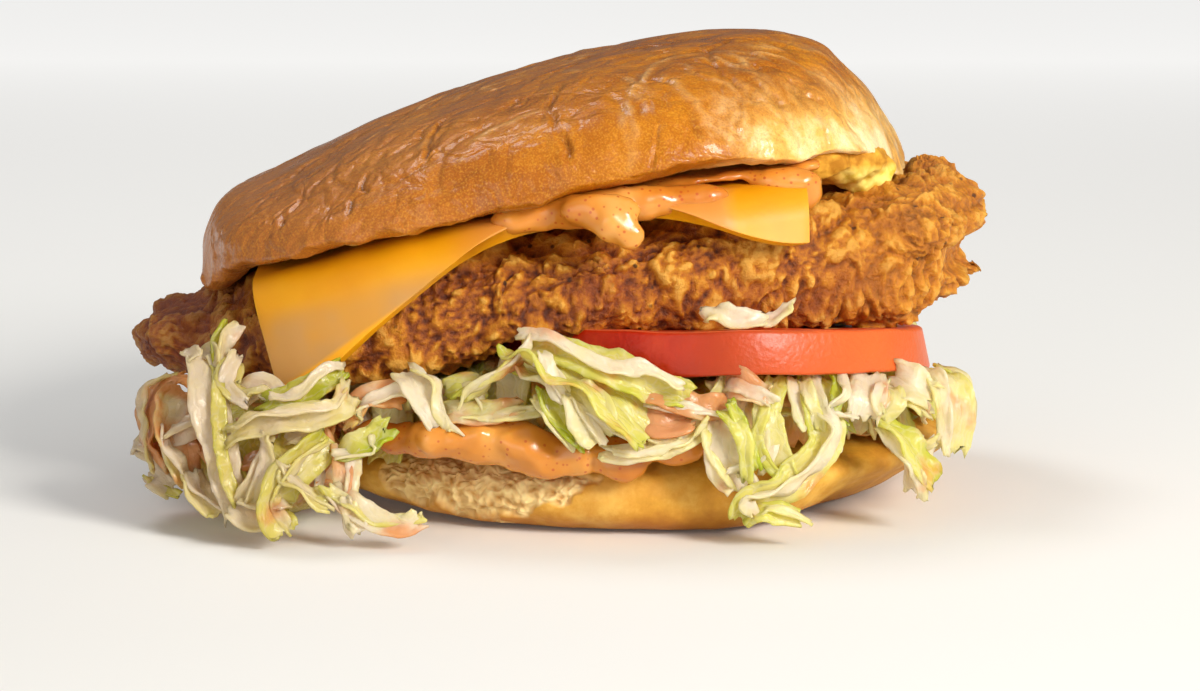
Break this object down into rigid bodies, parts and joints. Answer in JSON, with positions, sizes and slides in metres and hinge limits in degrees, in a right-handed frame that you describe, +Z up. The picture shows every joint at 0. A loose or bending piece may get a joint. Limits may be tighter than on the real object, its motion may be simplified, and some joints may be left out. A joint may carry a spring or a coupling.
{
  "type": "chicken burger",
  "caption": "Fried chicken burger with melted cheese, tomato, shredded lettuce and pink sauce between a shiny crown and a flat heel of soft bun.",
  "frame": {"origin": "middle of the burger's footprint box, on the surface it stands on", "axes": "+X along the fillet towards the end where the crown is highest, +Z up, -Y is the front with the hanging cheese"},
  "size_m": [0.141, 0.1148, 0.0737],
  "materials": {
    "bun": "baked soft bread, glazed golden brown on the crown, paler and floury on the heel",
    "crust": "deep-fried craggy crumb crust, golden brown with darker hollows",
    "cheese": "smooth melted cheese slice, orange yellow",
    "tomato": "wet sliced tomato, red skin",
    "lettuce": "crisp shredded iceberg leaf, white to yellow green, thin and translucent",
    "sauce": "creamy orange-pink sauce with red chilli specks"
  },
  "bodies": {
    "root": {"heel": "bun", "lower_sauce": "sauce", "lettuce": "lettuce", "tomato": "tomato", "lettuce_scrap": "lettuce", "fillet": "crust", "cheese": "cheese", "upper_sauce": "sauce", "crown": "bun"}
  },
  "joints": []
}
